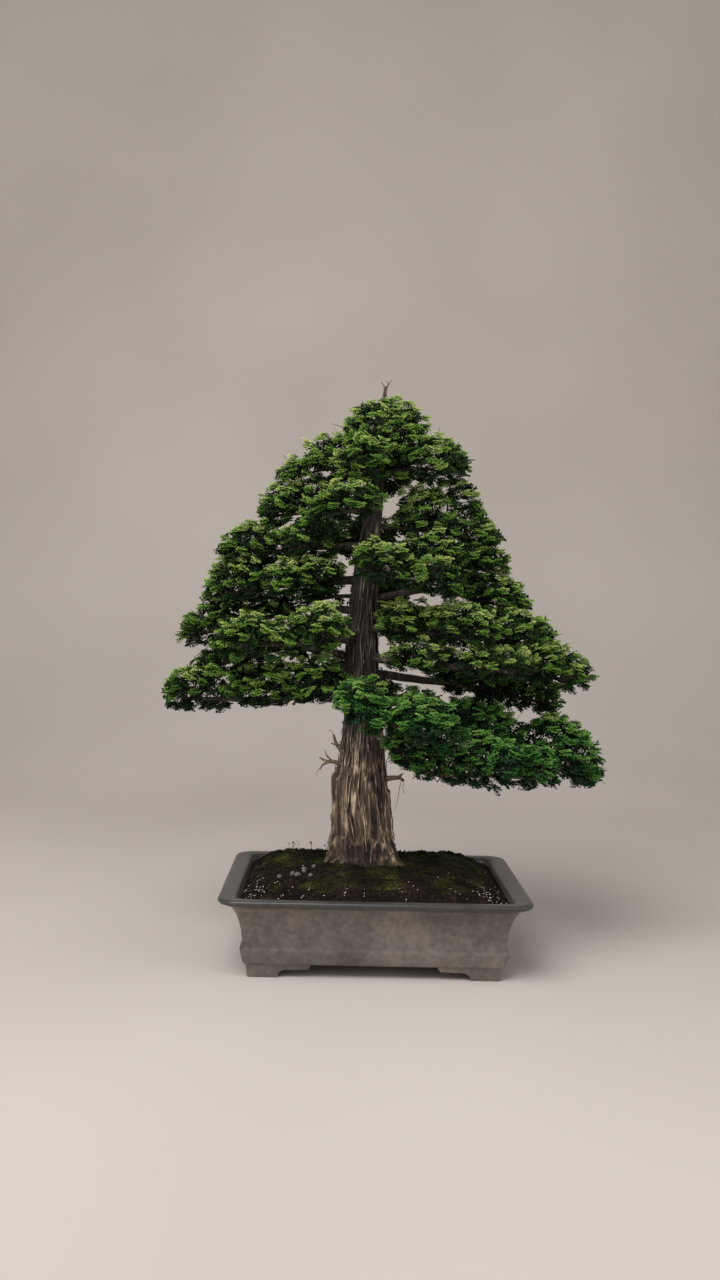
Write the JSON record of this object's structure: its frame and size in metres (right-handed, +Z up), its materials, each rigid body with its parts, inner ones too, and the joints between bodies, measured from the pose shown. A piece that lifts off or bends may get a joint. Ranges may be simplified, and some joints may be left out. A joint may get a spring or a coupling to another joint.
{
  "type": "potted bonsai tree",
  "caption": "Formal upright cypress bonsai with tiered foliage pads on level branches, in a rectangular unglazed stoneware pot with bracket feet.",
  "frame": {"origin": "centre of the whole plant's box in X and Y, on the surface that the pot's feet stand on", "axes": "+Z up along the trunk, +X to the right along the pot's long side seen from the display front, +Y to the back"},
  "size_m": [0.7206, 0.4288, 0.9313],
  "materials": {
    "stoneware": "unglazed matt, slightly burnished, grey-brown",
    "bark": "fibrous, peeling in vertical strips, matt",
    "leaves": "waxy scale leaves in flat fans, yellow-green at the tips",
    "moss": "matt, velvety",
    "soil": "damp, granular, matt",
    "grit": "porous, matt",
    "wire": "brown anodised, satin",
    "screen_plastic": "black, moulded mesh"
  },
  "bodies": {
    "root": {"pot": "stoneware", "drain_screen_left": "screen_plastic", "drain_screen_right": "screen_plastic", "screen_clip_left": "wire", "screen_clip_right": "wire", "tie_wire": "wire", "drainage_grit": "grit", "soil": "soil", "moss": "moss", "trunk": "bark", "branch_left_low": "bark", "branch_front_low": "bark", "branch_right_low": "bark", "branch_right_low_front": "bark", "branch_left_mid_back": "bark", "branch_left_mid": "bark", "branch_left_mid_high": "bark", "branch_left_thin": "bark", "branch_left_upper": "bark", "branch_left_high": "bark", "branch_left_crown": "bark", "branch_right_crown": "bark", "branch_right_high": "bark", "branch_right_upper": "bark", "branch_right_mid_high": "bark", "branch_right_mid": "bark", "branch_right_mid_back": "bark", "branch_front_mid": "bark", "branch_front_high": "bark", "branch_back_low": "bark", "branch_back_left": "bark", "branch_back_right": "bark", "branch_back_mid": "bark", "branch_back_high": "bark", "foliage_left_low": "leaves", "foliage_front_low": "leaves", "foliage_right_low": "leaves", "foliage_right_low_front": "leaves", "foliage_left_mid_back": "leaves", "foliage_left_mid": "leaves", "foliage_left_mid_high": "leaves", "foliage_left_thin": "leaves", "foliage_left_upper": "leaves", "foliage_left_high": "leaves", "foliage_left_crown": "leaves", "foliage_right_crown": "leaves", "foliage_right_high": "leaves", "foliage_right_upper": "leaves", "foliage_right_mid_high": "leaves", "foliage_right_mid": "leaves", "foliage_right_mid_back": "leaves", "foliage_front_mid": "leaves", "foliage_front_high": "leaves", "foliage_back_low": "leaves", "foliage_back_left": "leaves", "foliage_back_right": "leaves", "foliage_back_mid": "leaves", "foliage_back_high": "leaves", "foliage_crown": "leaves"}
  },
  "joints": []
}
